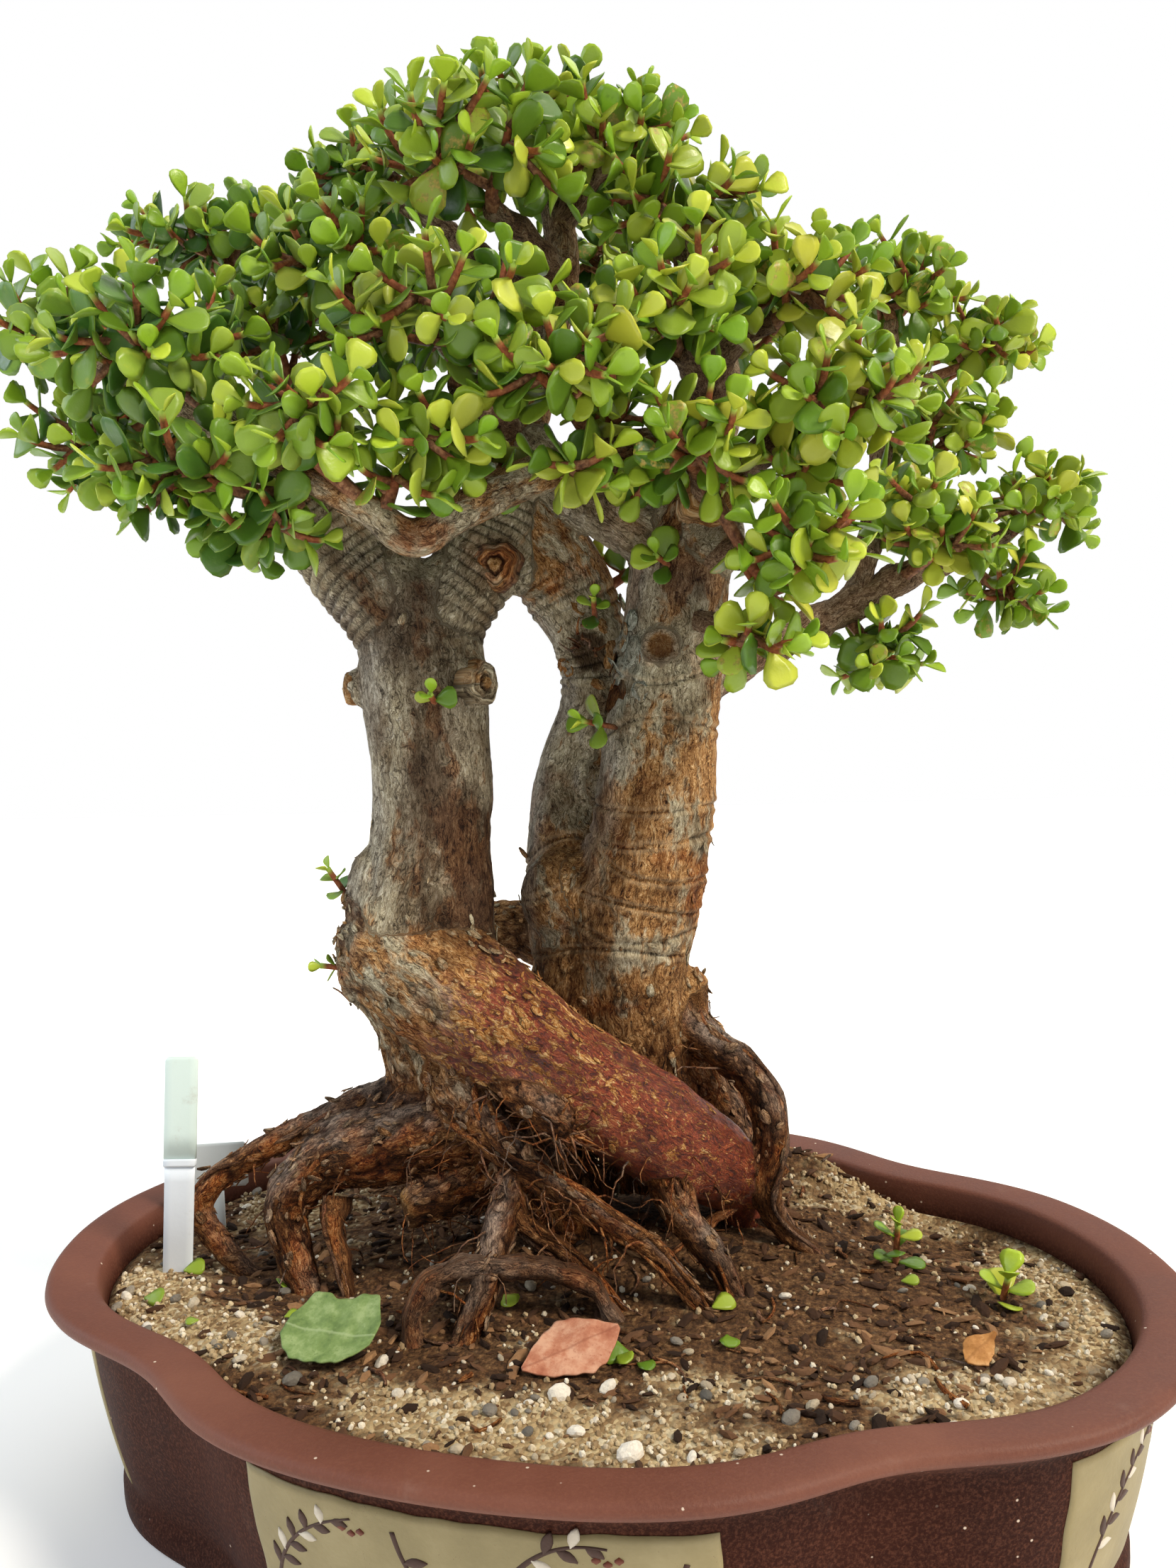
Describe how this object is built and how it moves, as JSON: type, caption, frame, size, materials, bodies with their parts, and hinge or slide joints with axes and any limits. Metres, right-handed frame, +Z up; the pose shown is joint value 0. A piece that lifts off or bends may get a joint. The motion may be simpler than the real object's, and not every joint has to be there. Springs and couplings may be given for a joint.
{
  "type": "dwarf jade bonsai",
  "caption": "Potted dwarf jade bonsai: fused bare-rooted trunks with a spreading crown of fleshy leaf pairs, in a four-lobed stoneware tray with soil and blank plant labels.",
  "frame": {"origin": "centre of the tray's flat underside", "axes": "+Z up, X along the tray's long side, Y across it; the tree's front faces -Y"},
  "size_m": [0.4577, 0.3846, 0.5964],
  "materials": {
    "stoneware": "satin",
    "soil": "matte",
    "bark": "matte",
    "leaf": "satin",
    "label_plastic": "satin",
    "dry_green": "matte",
    "dry_red": "matte"
  },
  "bodies": {
    "root": {"pot": "stoneware", "soil": "soil", "trunk": "bark", "spray_top_centre": "leaf", "spray_top_front": "leaf", "spray_top_right": "leaf", "spray_top_right_low": "leaf", "spray_top_left_back": "leaf", "spray_left_back_upper": "leaf", "spray_left_far": "leaf", "spray_left_front": "leaf", "spray_left_low_back": "leaf", "spray_left_low_front": "leaf", "spray_mid_left": "leaf", "spray_centre": "leaf", "spray_left_mid_front": "leaf", "spray_left_bottom": "leaf", "spray_centre_low": "leaf", "spray_centre_right_front": "leaf", "spray_centre_small": "leaf", "spray_right_front_upper": "leaf", "spray_right_top": "leaf", "spray_right_front": "leaf", "spray_right_mid": "leaf", "spray_right_low": "leaf", "spray_right_lowest": "leaf", "spray_back_right_upper": "leaf", "spray_back_right_far": "leaf", "spray_back_right_mid": "leaf", "spray_far_right": "leaf", "spray_far_right_mid": "leaf", "spray_far_right_low": "leaf", "spray_right_droop": "leaf", "spray_back_left": "leaf", "spray_back_centre": "leaf", "spray_back_right": "leaf", "spray_back_low": "leaf", "spray_left_back_low": "leaf", "shoot_left_trunk": "leaf", "shoot_back_trunk": "leaf", "shoot_knee": "leaf", "shoot_low_knee": "leaf", "shoot_hollow": "leaf", "shoot_right_trunk": "leaf", "seedling_back": "leaf", "seedling_right": "leaf", "label_stake": "label_plastic", "label_card": "label_plastic", "fallen_leaf_green": "dry_green", "fallen_leaf_red": "dry_red"}
  },
  "joints": []
}
